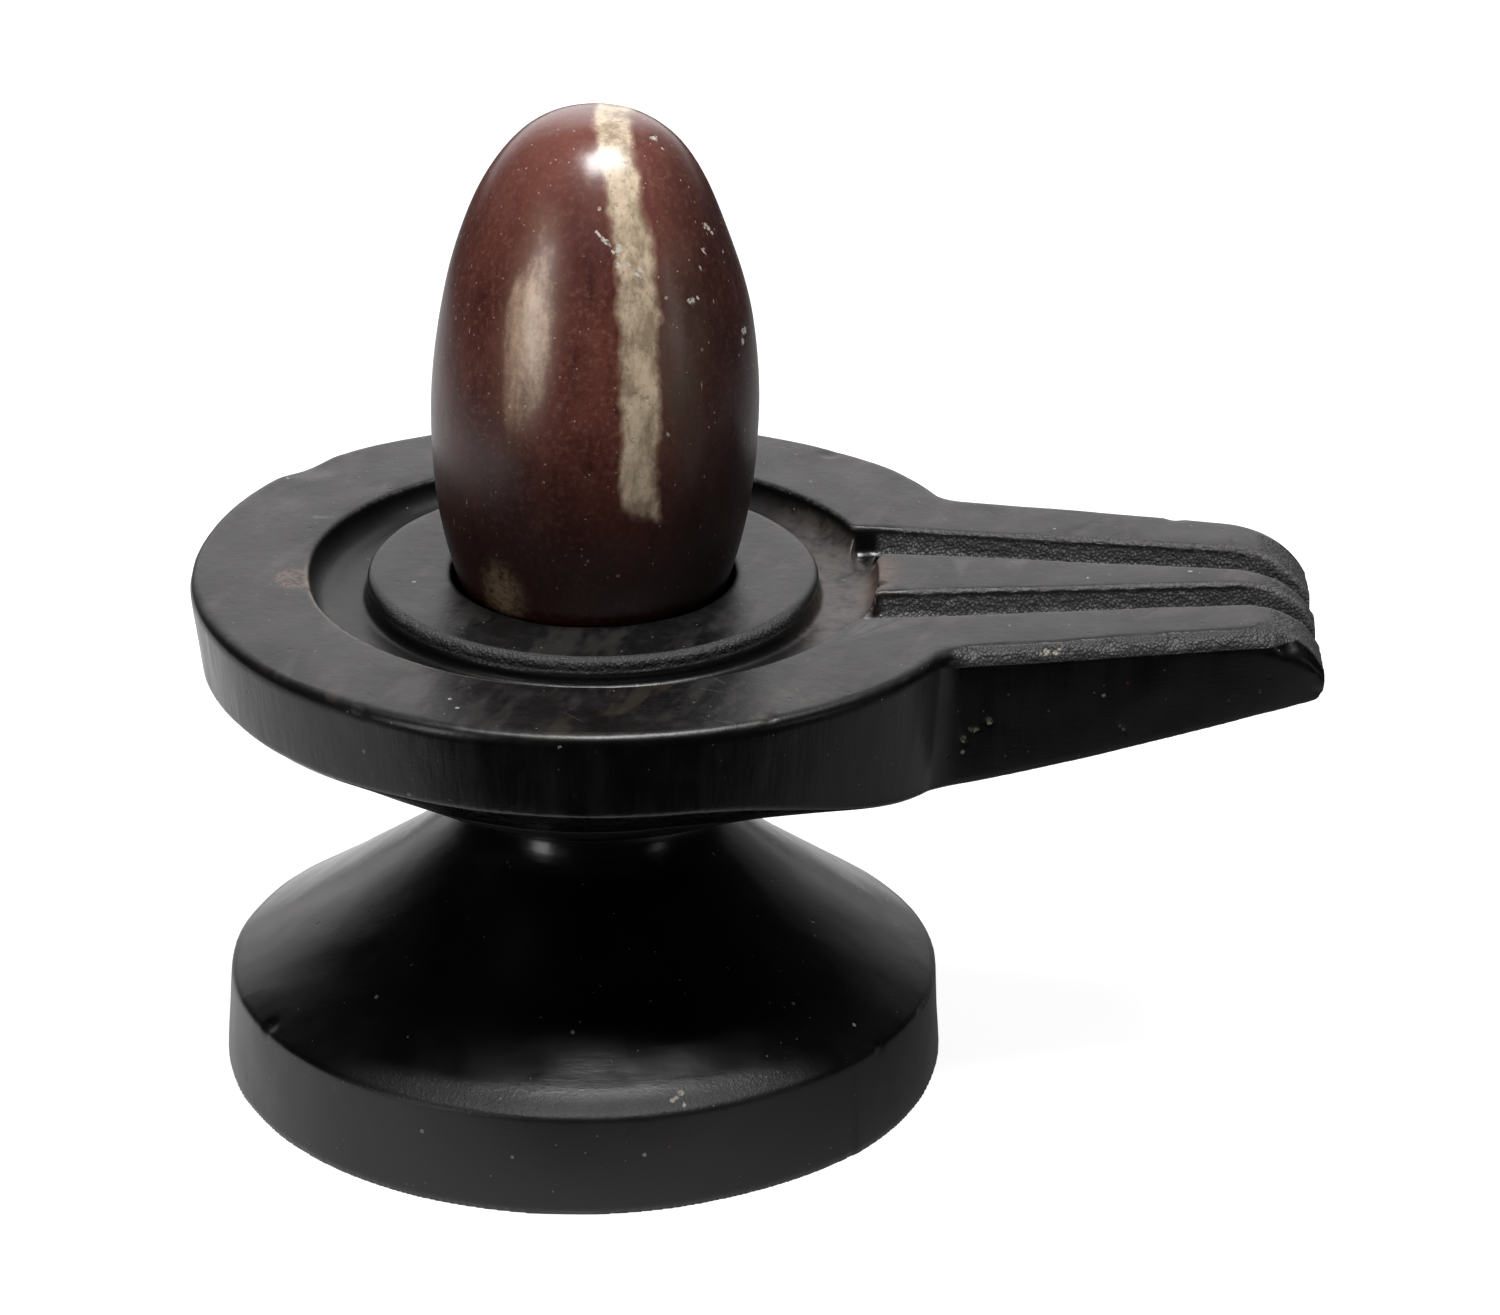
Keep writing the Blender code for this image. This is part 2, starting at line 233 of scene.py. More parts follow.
root_angle = math.atan2(ROOT_HALF_WIDTH, ROOT_AT)
from_front = np.abs((angles + math.pi) % (2 * math.pi) - math.pi)
past_root = np.clip((outline[:, 0] - ROOT_AT) / (SPOUT_REACH - ROOT_AT), 0.0, 1.0)
keel = PLATE_TOP - (ROOT_DEPTH + (TIP_DEPTH - ROOT_DEPTH) * past_root**KEEL_SWEEP)
wall_edge = keel + (WALL_BOTTOM - keel) * smooth_share(from_front, 0.85 * root_angle, 2.6 * root_angle)
WALL_EDGE = 0.25 * MM
rings.append(edge_ring(WALL_DRAFT + 2 * WALL_EDGE, wall_edge - WALL_EDGE))
rings.append(edge_ring(WALL_DRAFT, wall_edge + WALL_EDGE))
print(len(rings), "rings up to the wall, whose edge sinks to", round(wall_edge.min() / MM, 1), "mm")

# %% [markdown]
# On top, the rim is rounded over, and along the near side of the spout it was taken down with a
# coarse file to a wider slope. The channel is a trough with a hollow outer wall and a tight corner
# at the collar. The collar has a worn edge, one turned line just below it, and a small ledge under
# the line.

# %% Rim
NEAR_SLOPE = 0.7 * MM
QUARTER_TURN = math.pi / 2
near_side = smooth_share(outline[:, 0], 33 * MM, 38 * MM) * (outline[:, 1] < 0)
near_nose = smooth_share(outline[:, 0], 63 * MM, 70 * MM)
rim_round = RIM_ROUND + NEAR_SLOPE * near_side * (1 + near_nose)
for turned in np.linspace(0.0, QUARTER_TURN, 6):
    height = PLATE_TOP - rim_round * (1 - math.sin(turned))
    rings.append(edge_ring(rim_round * (1 - math.cos(turned)), height))
print("widest slope of the rim:", round(rim_round.max() / MM, 1), "mm")

# %% Channel
LIP_ROUND = 0.3 * MM
HOLLOW = 2.3 * MM
for turned in np.linspace(QUARTER_TURN, 0.0, 4):
    radius = CHANNEL_RADIUS + LIP_ROUND * (1 - math.cos(turned))
    rings.append(round_ring(radius, PLATE_TOP - LIP_ROUND * (1 - math.sin(turned))))
for turned in np.linspace(0.15, QUARTER_TURN, 7):
    radius = CHANNEL_RADIUS - HOLLOW * (1 - math.cos(turned))
    rings.append(round_ring(radius, PLATE_TOP - CHANNEL_DEPTH + HOLLOW * (1 - math.sin(turned))))
rings.append(round_ring(COLLAR_RADIUS + 0.6 * MM, PLATE_TOP - CHANNEL_DEPTH - 0.1 * MM))
print(len(rings), "rings up to the channel's floor")

# %% Collar
# Each pair is how far the collar's side stands out and how far it is below the plate's top, in millimetres
COLLAR_SIDE = [(0.3, 2.85), (0.1, 2.5), (0.05, 2.0), (0.12, 1.75)]
COLLAR_SIDE += [(0.08, 1.5), (-0.1, 1.35), (-0.3, 1.15), (-0.08, 0.95)]
for out, down in COLLAR_SIDE:
    rings.append(round_ring(COLLAR_RADIUS + out * MM, PLATE_TOP - down * MM))
COLLAR_ROUND = 0.7 * MM
for turned in np.linspace(0.0, QUARTER_TURN, 6):
    inset = COLLAR_ROUND * (1 - math.cos(turned))
    rings.append(round_ring(COLLAR_RADIUS - inset, PLATE_TOP - COLLAR_ROUND * (1 - math.sin(turned))))
print(len(rings), "rings up to the collar's top")

# %% [markdown]
# Last comes the socket, whose floor the river stone stands on.

# %% Socket
rings.append(round_ring(SOCKET_RADIUS + 0.5 * MM, PLATE_TOP))
rings.append(round_ring(SOCKET_RADIUS + 0.1 * MM, PLATE_TOP - 0.3 * MM))
for turned in np.linspace(0.0, QUARTER_TURN, 6):
    height = PLATE_TOP - SOCKET_DEPTH + SOCKET_CORNER * (1 - math.sin(turned))
    rings.append(round_ring(SOCKET_RADIUS - SOCKET_CORNER * (1 - math.cos(turned)), height))
print(len(rings), "rings in all")

# %% [markdown]
# ## Extruding the base
#
# The base starts as a filled circle with one corner for each angle. Extruding the face again and
# again, and moving each new ring to its place, raises the whole shape as one closed skin. An
# extruded face keeps its corners in order of angle, so sorting both by angle matches them.

# %% Extrude ring after ring
def by_angle(x, y):
    """An order that starts just below the spout's middle line."""
    return (math.atan2(y, x - PLATE_AHEAD) + FINE_ANGLE / 2) % (2 * math.pi)


def place_ring(mesh, ring):
    bm = bmesh.from_edit_mesh(mesh)
    face = next(face for face in bm.faces if face.select)
    corners = sorted(face.verts, key=lambda vert: by_angle(vert.co.x, vert.co.y))
    places = sorted(ring.tolist(), key=lambda point: by_angle(point[0], point[1]))
    for corner, point in zip(corners, places):
        corner.co = point
    bmesh.update_edit_mesh(mesh)


circle = {"vertices": len(angles), "radius": FOOT_RADIUS, "fill_type": "NGON"}
base = add_mesh(bpy.ops.mesh.primitive_circle_add, "carved_base", **circle)
bpy.ops.object.mode_set(mode="EDIT")
bpy.ops.mesh.select_all(action="SELECT")
place_ring(base.data, rings[0])
for ring in rings[1:]:
    bpy.ops.mesh.extrude_region_move()
    place_ring(base.data, ring)
bpy.ops.mesh.select_all(action="SELECT")
bpy.ops.mesh.normals_make_consistent(inside=False)
bpy.ops.object.mode_set(mode="OBJECT")
print("extruded base:", len(base.data.polygons), "faces")

# %% [markdown]
# ## Rounding the spout's nose
#
# The top of the spout is level and then rolls down to its end like a quarter of an ellipse. The
# long faces there have no corners that could follow a curve, so they are first cut across at even
# steps with bisect. Then every point beyond the start of the curve is lowered in proportion to its
# height above the keel.

# %% Slice the nose and roll it down
NOSE_LENGTH = 9.0 * MM
NOSE_OVERRUN = 0.4 * MM
NOSE_SLICES = 24
nose_start = PLATE_AHEAD + SPOUT_REACH - NOSE_LENGTH
tip_bottom = PLATE_TOP - TIP_DEPTH
nose_bottom = tip_bottom - 0.3 * MM


def nose_height(x, length, height):
    """The height of a quarter ellipse that starts level at nose_start and falls to nose_bottom."""
    share = np.clip((x - nose_start) / length, 0.0, 1.0)
    return nose_bottom + height * np.sqrt(1 - share**2)


def slice_across(first, last, count):
    bpy.ops.mesh.select_all(action="SELECT")
    for place in np.linspace(first, last, count):
        bpy.ops.mesh.bisect(plane_co=(place, 0, 0), plane_no=(1, 0, 0))
        bpy.ops.mesh.select_all(action="SELECT")


def read_points(mesh, what="co"):
    """The places of a mesh's points or, for what="normal", their normals."""
    numbers = np.empty(3 * len(mesh.vertices))
    mesh.vertices.foreach_get(what, numbers)
    return numbers.reshape(-1, 3)


def write_points(mesh, points):
    mesh.vertices.foreach_set("co", points.ravel())
    mesh.update()


select_only(base)
bpy.ops.object.mode_set(mode="EDIT")
slice_across(nose_start, PLATE_AHEAD + SPOUT_REACH - 1.2 * MM, NOSE_SLICES)
bpy.ops.object.mode_set(mode="OBJECT")

points = read_points(base.data)
beyond = (points[:, 0] > nose_start) & (points[:, 2] > tip_bottom)
full = PLATE_TOP - tip_bottom
rolled = nose_height(points[:, 0], NOSE_LENGTH + NOSE_OVERRUN, PLATE_TOP - nose_bottom) - tip_bottom
points[beyond, 2] = tip_bottom + (points[beyond, 2] - tip_bottom) * rolled[beyond] / full
write_points(base.data, points)
print("nose points moved:", int(beyond.sum()))

# %% [markdown]
# ## Cutting the two grooves
#
# Each groove is a tapering trench between the spout's edge and the middle ridge. Its cutter starts
# as a cube, is sliced across so that its floor can follow the nose, and leans its walls outwards.
# Its lower edges are bevelled, because a file doesn't leave a sharp corner. A boolean then takes it
# away from the base.

# %% Groove cutters
RIDGE_ROOT_HALF = 5.2 * MM
RIDGE_TIP_HALF = 1.1 * MM
GROOVE_ROOT_HALF = 11.7 * MM
GROOVE_TIP_HALF = 6.1 * MM
GROOVE_DEPTH = 2.9 * MM
GROOVE_COVE = 0.8 * MM
GROOVE_SLOPE = 0.9 * MM
groove_start = PLATE_AHEAD + (CHANNEL_RADIUS + COLLAR_RADIUS) / 2 + 0.6 * MM
groove_end = PLATE_AHEAD + SPOUT_REACH


def groove_cutter(side):
    """A groove's cutter, on the +Y side for side=1 and on the -Y side for side=-1."""
    length = groove_end + 3 * MM - groove_start
    floor = PLATE_TOP - GROOVE_DEPTH
    middle = (groove_start + length / 2, 0, floor + GROOVE_DEPTH)
    cutter = add_mesh(bpy.ops.mesh.primitive_cube_add, "groove_cutter", size=1, location=middle)
    cutter.scale = (length, 1 * MM, 2 * GROOVE_DEPTH)
    bpy.ops.object.transform_apply(location=True, rotation=False, scale=True)
    bpy.ops.object.mode_set(mode="EDIT")
    slice_across(nose_start, groove_end - 1.0 * MM, NOSE_SLICES)
    bpy.ops.object.mode_set(mode="OBJECT")

    points = read_points(cutter.data)
    share = (points[:, 0] - groove_start) / (groove_end - groove_start)
    ridge = RIDGE_ROOT_HALF + (RIDGE_TIP_HALF - RIDGE_ROOT_HALF) * share
    lip = GROOVE_ROOT_HALF + (GROOVE_TIP_HALF - GROOVE_ROOT_HALF) * share
    low = points[:, 2] < floor + MM
    slope = np.where(low, GROOVE_SLOPE, -GROOVE_SLOPE)
    points[:, 1] = side * np.where(points[:, 1] > 0, lip - slope, ridge + slope)
    rolled = nose_height(points[:, 0], NOSE_LENGTH - 1.0 * MM, floor - nose_bottom)
    past = np.clip(points[:, 0] - (groove_end - 1.0 * MM), 0.0, None)
    points[low, 2] = (rolled - past)[low]
    write_points(cutter.data, points)

    bpy.ops.object.mode_set(mode="EDIT")
    bpy.ops.mesh.select_all(action="SELECT")
    bpy.ops.mesh.normals_make_consistent(inside=False)
    bpy.ops.mesh.select_all(action="DESELECT")
    bm = bmesh.from_edit_mesh(cutter.data)
    for edge in bm.edges:
        runs_along = abs(edge.verts[0].co.x - edge.verts[1].co.x) > 0.1 * MM
        edge.select_set(runs_along and all(vert.co.z < floor + MM for vert in edge.verts))
    bpy.ops.mesh.bevel(offset=GROOVE_COVE, segments=4, affect="EDGES")
    bpy.ops.object.mode_set(mode="OBJECT")
    return cutter


for side in (1, -1):
    cutter = groove_cutter(side)
    apply_modifier(base, "BOOLEAN", operation="DIFFERENCE", solver="EXACT", object=cutter)
    bpy.data.objects.remove(cutter)
print("grooved base:", len(base.data.polygons), "faces")

# %% [markdown]
# ## From a drawing to a stone
#
# So far every edge is crisp and every face is true, and no hand-filed stone looks like that. A
# voxel remesh turns the skin into a fine even net, smoothing wears the edges, and two displacements
# with cloud textures make the broad unevenness of the file and the small ripple of the sanding. A
# third one is kept, by a vertex group, to the places that were never sanded: the groove walls, the
# near slope of the spout and the collar's front edge.

# %% Remesh, wear and ripple
VOXEL = 0.26 * MM


def roughen(thing, name, size, strength, **settings):
    """Moves the surface in and out by a cloud texture whose clouds have a size."""
    texture = bpy.data.textures.new(name, "CLOUDS")
    texture.noise_scale = size
    texture.noise_depth = 1
    settings.update(texture=texture, texture_coords="LOCAL", strength=strength, mid_level=0.5)
    apply_modifier(thing, "DISPLACE", **settings)


apply_modifier(base, "REMESH", mode="VOXEL", voxel_size=VOXEL, use_smooth_shade=True)
apply_modifier(base, "SMOOTH", factor=0.5, iterations=4)
roughen(base, "broad", 11 * MM, 0.22 * MM)
roughen(base, "ripple", 3 * MM, 0.04 * MM)

# The unsanded places, with all lengths in millimetres
x, y, z = (read_points(base.data) / MM).T
down = PLATE_TOP / MM - z
from_axis = np.hypot(x - PLATE_AHEAD / MM, y)
in_grooves = (x > 29.5) & (np.abs(y) < 11.9) & (down > 0.8) & (down < 7)
on_slope = (x > 37) & (y < -11.5) & (down > 0.1) & (down < 1.7)
on_collar = (np.abs(from_axis - 22.4) < 0.6) & (y < -12) & (down < 1.3)
rough = base.vertex_groups.new(name="unsanded")
rough.add(np.flatnonzero(in_grooves | on_slope | on_collar).tolist(), 1.0, "REPLACE")
roughen(base, "coarse file", 1.1 * MM, 0.22 * MM, vertex_group=rough.name)
print("remeshed base:", len(base.data.vertices), "points")

# %% [markdown]
# ## Nicks and dents
#
# The last shapes are single blows and slips of the tool. Each is a small round area pushed in along
# the surface's own normal, deepest in its middle. Fresh ones show pale stone, so each blow is also
# written into an attribute of the mesh, which the material reads.

# %% A blow to the surface
def store_layer(mesh, name, values):
    layer = mesh.attributes.new(name, "FLOAT", "POINT")
    layer.data.foreach_set("value", values.astype(np.float32))


def strike(thing, blows):
    """Each blow is a place, a radius and a depth in metres, and how pale it leaves the stone."""
    points, normals = read_points(thing.data), read_points(thing.data, "normal")
    pale = np.zeros(len(points))
    for centre, radius, depth, paleness in blows:
        away = np.linalg.norm(points - np.array(centre), axis=1)
        fall = np.clip(1 - (away / radius) ** 2, 0.0, 1.0) ** 2
        points -= normals * (depth * fall)[:, None]
        pale = np.maximum(pale, paleness * fall)
    write_points(thing.data, points)
    store_layer(thing.data, "pale", pale)
    print(thing.name, "took", len(blows), "blows")


# %% [markdown]
# A fresh chip isn't round. It is a few small blows close together, and their places are drawn from
# a random generator with a fixed seed, so that every run gives the same chips.

# %% Ragged chips
CHIP_BLOWS = 7
CHIP_SPREAD = 0.42
CHIP_SMALLEST, CHIP_LARGEST = 0.3, 0.65
chance = np.random.default_rng(3)


def chip(centre, radius, depth, paleness):
    offsets = chance.normal(0.0, CHIP_SPREAD * radius, (CHIP_BLOWS, 3))
    shares = chance.uniform(CHIP_SMALLEST, CHIP_LARGEST, CHIP_BLOWS)
    places = np.array(centre) + offsets
    return [(place, radius * share, depth * share, paleness) for place, share in zip(places, shares)]


# %% Blows to the base
# Places are (x, y, z), then radius, depth and paleness, with lengths in millimetres
BASE_BLOWS = [
    (-29.5, 26.2, 53.0, 4.5, 0.40, 0.0), (52.0, -16.4, 53.0, 1.1, 0.20, 0.2),
    (58.5, -15.2, 53.0, 1.4, 0.22, 0.2), (38.5, -18.6, 53.1, 1.0, 0.20, 0.2),
    (69.5, -13.0, 51.6, 1.5, 0.25, 0.0), (73.2, -12.4, 46.6, 1.2, 0.25, 0.3),
    (29.6, -3.0, 53.2, 1.0, 0.30, 0.0), (29.2, 4.4, 53.0, 1.3, 0.50, 0.0),
    (27.9, 9.6, 51.6, 1.5, 0.50, 0.0), (-20.0, -33.8, 53.2, 1.4, 0.07, 0.0),
    (18.5, -35.0, 53.3, 1.1, 0.12, 0.0), (-38.0, 4.0, 45.4, 1.6, 0.30, 0.0),
    (25.0, 31.0, 53.2, 1.5, 0.20, 0.0), (60.0, 14.6, 53.0, 1.3, 0.20, 0.0),
    (-31.0, -17.5, 10.4, 1.4, 0.20, 0.0), (30.5, -20.0, 10.2, 1.2, 0.20, 0.2),
]
BASE_CHIPS = [
    (45.3, -17.5, 52.7, 0.9, 0.30, 0.9), (43.8, -17.8, 52.5, 0.7, 0.25, 0.9),
    (47.4, -17.2, 52.8, 0.5, 0.20, 0.8), (-6.0, -36.4, 10.6, 0.8, 0.25, 0.3),
    (10.4, -33.4, 11.4, 0.9, 0.12, 0.9), (12.0, -33.2, 11.5, 0.7, 0.10, 0.9),
    (73.2, -11.8, 45.9, 0.8, 0.20, 0.5), (37.9, -18.9, 44.0, 0.7, 0.10, 1.0),
    (38.6, -18.8, 45.1, 0.7, 0.10, 1.0), (39.9, -18.6, 45.6, 0.8, 0.10, 1.0),
    (45.0, -17.4, 43.3, 0.4, 0.10, 0.7), (53.5, -15.9, 43.8, 0.5, 0.10, 0.6),
]
blows = []
for x, y, z, radius, depth, pale in BASE_BLOWS:
    blows.append(((x * MM, y * MM, z * MM), radius * MM, depth * MM, pale))
for x, y, z, radius, depth, pale in BASE_CHIPS:
    blows += chip((x * MM, y * MM, z * MM), radius * MM, depth * MM, pale)
strike(base, blows)

# %% [markdown]
# The wear must stay in the solid's box, and the underside is laid flat on the ground.

# %% Keep the base in its box and flat below
SOLE = 0.35 * MM
points = np.clip(read_points(base.data), np.array(base_low), np.array(base_high))
points[:, 2] = np.where(points[:, 2] < SOLE, 0.0, points[:, 2])
write_points(base.data, points)
print("base from", [round(value / MM, 1) for value in points.min(axis=0)])

# %% [markdown]
# Decimating removes points where the surface is nearly flat and keeps them on the edges, so the
# piece stays light without losing its carving.

# %% Lighten the net
TRIANGLES_WANTED = 190_000
triangles = 2 * len(base.data.polygons)
apply_modifier(base, "DECIMATE", ratio=min(1.0, TRIANGLES_WANTED / triangles))
select_only(base)
bpy.ops.object.shade_smooth()
print("base:", len(base.data.polygons), "faces")

# %% [markdown]
# ## The river stone
#
# The stone was ground to an egg by a river and polished by hand. A sphere with many rings is moved
# onto the stone's own profile: a tapering crown above its widest place and a rounder end below,
# which stands in the socket. It leans a little to one side near the top.

# %% Shape the stone
stone_low, stone_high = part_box("lingam_stone")
STONE_RADIUS = (stone_high.y - stone_low.y) / 2
STONE_BOTTOM = stone_low.z
STONE_LOWER = 32.4 * MM
STONE_UPPER = stone_high.z - stone_low.z - STONE_LOWER
UPPER_TAPER, UPPER_BLUNTNESS, LOWER_BLUNTNESS = 1.75, 2.5, 2.05
STONE_LEAN = 0.3 * MM
LEAN_REACH = 30 * MM
STONE_SEGMENTS, STONE_RINGS = 360, 270
AT_POLE = 1e-6

sphere = {"segments": STONE_SEGMENTS, "ring_count": STONE_RINGS, "radius": 1}
stone = add_mesh(bpy.ops.mesh.primitive_uv_sphere_add, "river_stone", **sphere)
points = read_points(stone.data)
across = np.linalg.norm(points[:, :2], axis=1)
side = points[:, :2] / np.maximum(across, AT_POLE)[:, None]
up = points[:, 2]
upper = (1 - np.clip(up, 0, 1) ** UPPER_TAPER) ** (1 / UPPER_BLUNTNESS)
lower = (1 - np.clip(-up, 0, 1) ** LOWER_BLUNTNESS) ** (1 / LOWER_BLUNTNESS)
radius = STONE_RADIUS * np.where(up > 0, upper, lower)
radius[across < AT_POLE] = 0.0
height = STONE_BOTTOM + STONE_LOWER + up * np.where(up > 0, STONE_UPPER, STONE_LOWER)
lean = STONE_LEAN * smooth_share(height, PLATE_TOP, PLATE_TOP + LEAN_REACH)
points = np.column_stack([PLATE_AHEAD + lean + radius * side[:, 0], radius * side[:, 1], height])
write_points(stone.data, points)
print("stone:", round(2 * STONE_RADIUS / MM, 1), "mm thick,", len(stone.data.polygons), "faces")

# %% [markdown]
# A river stone isn't a perfect egg either. It gets a slow swell, a flatter place on the right of
# its crown, and a few chips, where grains have broken out.

# %% Swell and chips
roughen(stone, "swell", 14 * MM, 0.3 * MM)

# Places are (x, z) on the side that faces -Y, then radius, depth and paleness, lengths in millimetres
STONE_CHIPS = [
    (1.8, 93.2, 0.5, 0.10, 0.9), (2.6, 92.6, 0.6, 0.14, 1.0),
    (3.5, 91.9, 0.7, 0.20, 1.0), (3.8, 90.5, 0.6, 0.16, 1.0),
    (4.8, 90.4, 0.6, 0.14, 0.9), (5.5, 89.5, 0.6, 0.12, 1.0),
    (7.0, 100.0, 0.6, 0.10, 1.0), (7.8, 99.2, 0.3, 0.05, 0.8),
    (12.3, 92.0, 0.8, 0.14, 1.0), (12.0, 90.2, 0.5, 0.08, 0.9),
    (11.6, 88.6, 0.4, 0.06, 0.8), (11.0, 86.4, 0.7, 0.12, 0.9),
    (9.4, 83.8, 0.5, 0.06, 0.9), (15.8, 80.9, 0.9, 0.12, 1.0),
    (-10.6, 88.0, 0.4, 0.06, 0.6), (-12.0, 92.5, 0.4, 0.05, 0.5),
    (8.6, 74.0, 0.6, 0.05, 0.5),
]
# One wide, shallow blow from the right: height, radius and depth in millimetres
CROWN_BLOW = (91.0, 11.0, 0.5)
points, normals = read_points(stone.data), read_points(stone.data, "normal")
blows = []
for x, z, radius, depth, pale in STONE_CHIPS:
    away = np.hypot(points[:, 0] - x * MM, points[:, 2] - z * MM) + np.where(normals[:, 1] < 0, 0.0, 1.0)
    blows += chip(points[np.argmin(away)], radius * MM, depth * MM, pale)
height, radius, depth = np.array(CROWN_BLOW) * MM
blows.append((np.array([STONE_RADIUS, 0.0, height]), radius, depth, 0.0))
strike(stone, blows)
select_only(stone)
bpy.ops.object.shade_smooth()
print("river stone:", len(stone.data.polygons), "faces")

# %% [markdown]
# ## Where edges are worn and glint
#
# Dust collects on edges and wears them pale, and the pale grey painted there is also a painted glint of
# light. For each point, the distance between it and the middle of its neighbours tells how sharply the
# surface bends outwards there. The result is stored on the mesh as an attribute, which the material reads.

# %% Measure the edges
BEND_GAIN = 1.2
BEND_ROUNDS = 3


def store_edges(thing):
    mesh = thing.data
    points, normals = read_points(mesh), read_points(mesh, "normal")
    pairs = np.empty(2 * len(mesh.edges), dtype=np.int64)
    mesh.edges.foreach_get("vertices", pairs)
    first, second = pairs.reshape(-1, 2).T
    count = np.bincount(pairs, minlength=len(points)).astype(float)

    def gathered(at_first, at_second):
        """The mean, at each point, of one value for each of its edges."""
        total = np.bincount(first, at_first, len(points)) + np.bincount(second, at_second, len(points))
        return total / count

    def around(values):
        """The mean of each point's neighbours."""
        return gathered(values[second], values[first])

    middle = np.column_stack([around(points[:, axis]) for axis in range(3)])
    length = np.linalg.norm(points[first] - points[second], axis=1)
    bend = ((points - middle) * normals).sum(axis=1) / gathered(length, length) ** 2 * MM
    for _ in range(BEND_ROUNDS):
        bend = 0.5 * bend + 0.5 * around(bend)
    store_layer(mesh, "edge", np.clip(bend * BEND_GAIN, 0.0, 1.0))
    print(thing.name, "bends from", round(bend.min(), 2), "to", round(bend.max(), 2), "per mm")


store_edges(base)

# %% [markdown]
# ## Writing shaders as sums
#
# A node tree for a stone is mostly arithmetic. This small class wraps a socket, so that masks can
# be added and multiplied as Python values, and each operator adds its Math node. All other nodes
# come from one method.

# %% A socket that can be calculated with
def feed(tree, socket, value):
    """Links a Value to a socket, or writes a plain value there."""
    if isinstance(value, Value):
        tree.links.new(value.socket, socket)
    else:
        socket.default_value = value


class Value:
    def __init__(self, tree, socket):
        self.tree = tree
        self.socket = socket

    def node(self, kind, settings=None, inputs=None, output=0):
        """Adds a node: first its settings, and then the values or links of its sockets."""
        node = self.tree.nodes.new(kind)
        for name, value in (settings or {}).items():
            setattr(node, name, value)
        for name, value in (inputs or {}).items():
            feed(self.tree, node.inputs[name], value)
        return Value(self.tree, node.outputs[output])

    def math(self, operation, *others):
        return self.node("ShaderNodeMath", {"operation": operation}, dict(enumerate((self, *others))))

    def __add__(self, other):
        return self.math("ADD", other)

    __radd__ = __add__

    def __mul__(self, other):
        return self.math("MULTIPLY", other)

    __rmul__ = __mul__

    def __sub__(self, other):
        return self.math("SUBTRACT", other)

    def __rsub__(self, other):
        return self.math("MULTIPLY_ADD", -1.0, other)

    def __truediv__(self, other):
        return self.math("DIVIDE", other)

    def __pow__(self, other):
        return self.math("POWER", other)

    def above(self, low, high):
        """0 below low, 1 above high and smooth between them, or the other way round where low is larger."""
        inputs = {"Value": self, "From Min": low, "From Max": high}
        return self.node("ShaderNodeMapRange", {"interpolation_type": "SMOOTHSTEP"}, inputs)

    def between(self, low, high, soft):
        return self.above(low - soft, low + soft) * self.above(high + soft, high - soft)

    def mixed(self, first, second):
        """A colour between two colours, with this value as the share of the second."""
        inputs = {0: self, 6: colour_of(first), 7: colour_of(second)}
        return self.node("ShaderNodeMix", {"data_type": "RGBA"}, inputs, 2)

    def vector(self, operation, *others, output=0):
        inputs = dict(enumerate((self, *others)))
        return self.node("ShaderNodeVectorMath", {"operation": operation}, inputs, output)

    def axis(self, index):
        return self.node("ShaderNodeSeparateXYZ", None, {0: self}, index)

    def also(self, output):
        """Another output of the same node."""
        return Value(self.tree, self.socket.node.outputs[output])


def colour_of(value):
    return value if isinstance(value, Value) else (*value, 1.0)


# %% [markdown]
# Every material starts from the object's own coordinates. A colour is built up like paint, in
# layers: each has a mask that says where it is, a strength and a colour of its own.

# %% Starting and finishing a material
def new_material(name):
    material = bpy.data.materials.new(name)
    material.use_nodes = True
    return material


def coordinates(tree, output="Object"):
    return Value(tree, tree.nodes.new("ShaderNodeTexCoord").outputs[output])


def in_millimetres(metres):
    return metres.node("ShaderNodeVectorMath", {"operation": "SCALE"}, {0: metres, "Scale": 1 / MM})


def painted(colour, *layers):
    """A colour with layers over it, each a mask, a strength and a colour, and the topmost last."""
    for mask, strength, layer in layers:
        colour = (mask * strength).mixed(colour, layer)
    return colour


def dress(thing, material, inputs):
    """Feeds the shader's sockets and gives the material to a thing."""
    shader = material.node_tree.nodes["Principled BSDF"]
    for name, value in inputs.items():
        feed(material.node_tree, shader.inputs[name], value)
    thing.data.materials.clear()
    thing.data.materials.append(material)
    print(material.name, "has", len(material.node_tree.nodes), "nodes")

# %% [markdown]
# The patterns read coordinates in millimetres, so a noise scale of 2 means two waves in a
# millimetre. Two of them cover what stone needs: clouds, and specks, which become scratches where
# they are stretched.

# %% Patterns
def clouds(place, scale, roughness, stretch=(1, 1, 1), detail=3.0):
    stretched = place.vector("MULTIPLY", stretch)
    inputs = {"Vector": stretched, "Scale": scale, "Detail": detail, "Roughness": roughness}
    return place.node("ShaderNodeTexNoise", None, inputs)


def cells(place, spacing, dimensions="3D"):
    """The distance to the middle of the nearest cell, in cells."""
    settings = {"voronoi_dimensions": dimensions}
    return place.node("ShaderNodeTexVoronoi", settings, {"Vector": place, "Scale": 1 / spacing}, "Distance")


def specks(place, spacing, size, share=1.0, stretch=(1, 1, 1), dimensions="3D"):
    """1 in small dots of a size in millimetres, which only a share of the cells have, and 0 elsewhere."""
    distance = cells(place.vector("MULTIPLY", stretch), spacing, dimensions)
    radius = size / spacing
    dots = distance.above(radius, 0.6 * radius)
    if share == 1.0:
        return dots
    return dots * distance.also("Color").axis(0).above(1 - share, 1.02 - share)


def attribute(place, name):
    return place.node("ShaderNodeAttribute", {"attribute_name": name}, None, 2)


def bump(relief, strength):
    """A normal for a relief in millimetres."""
    return relief.node("ShaderNodeBump", None, {"Height": relief, "Distance": MM, "Strength": strength})


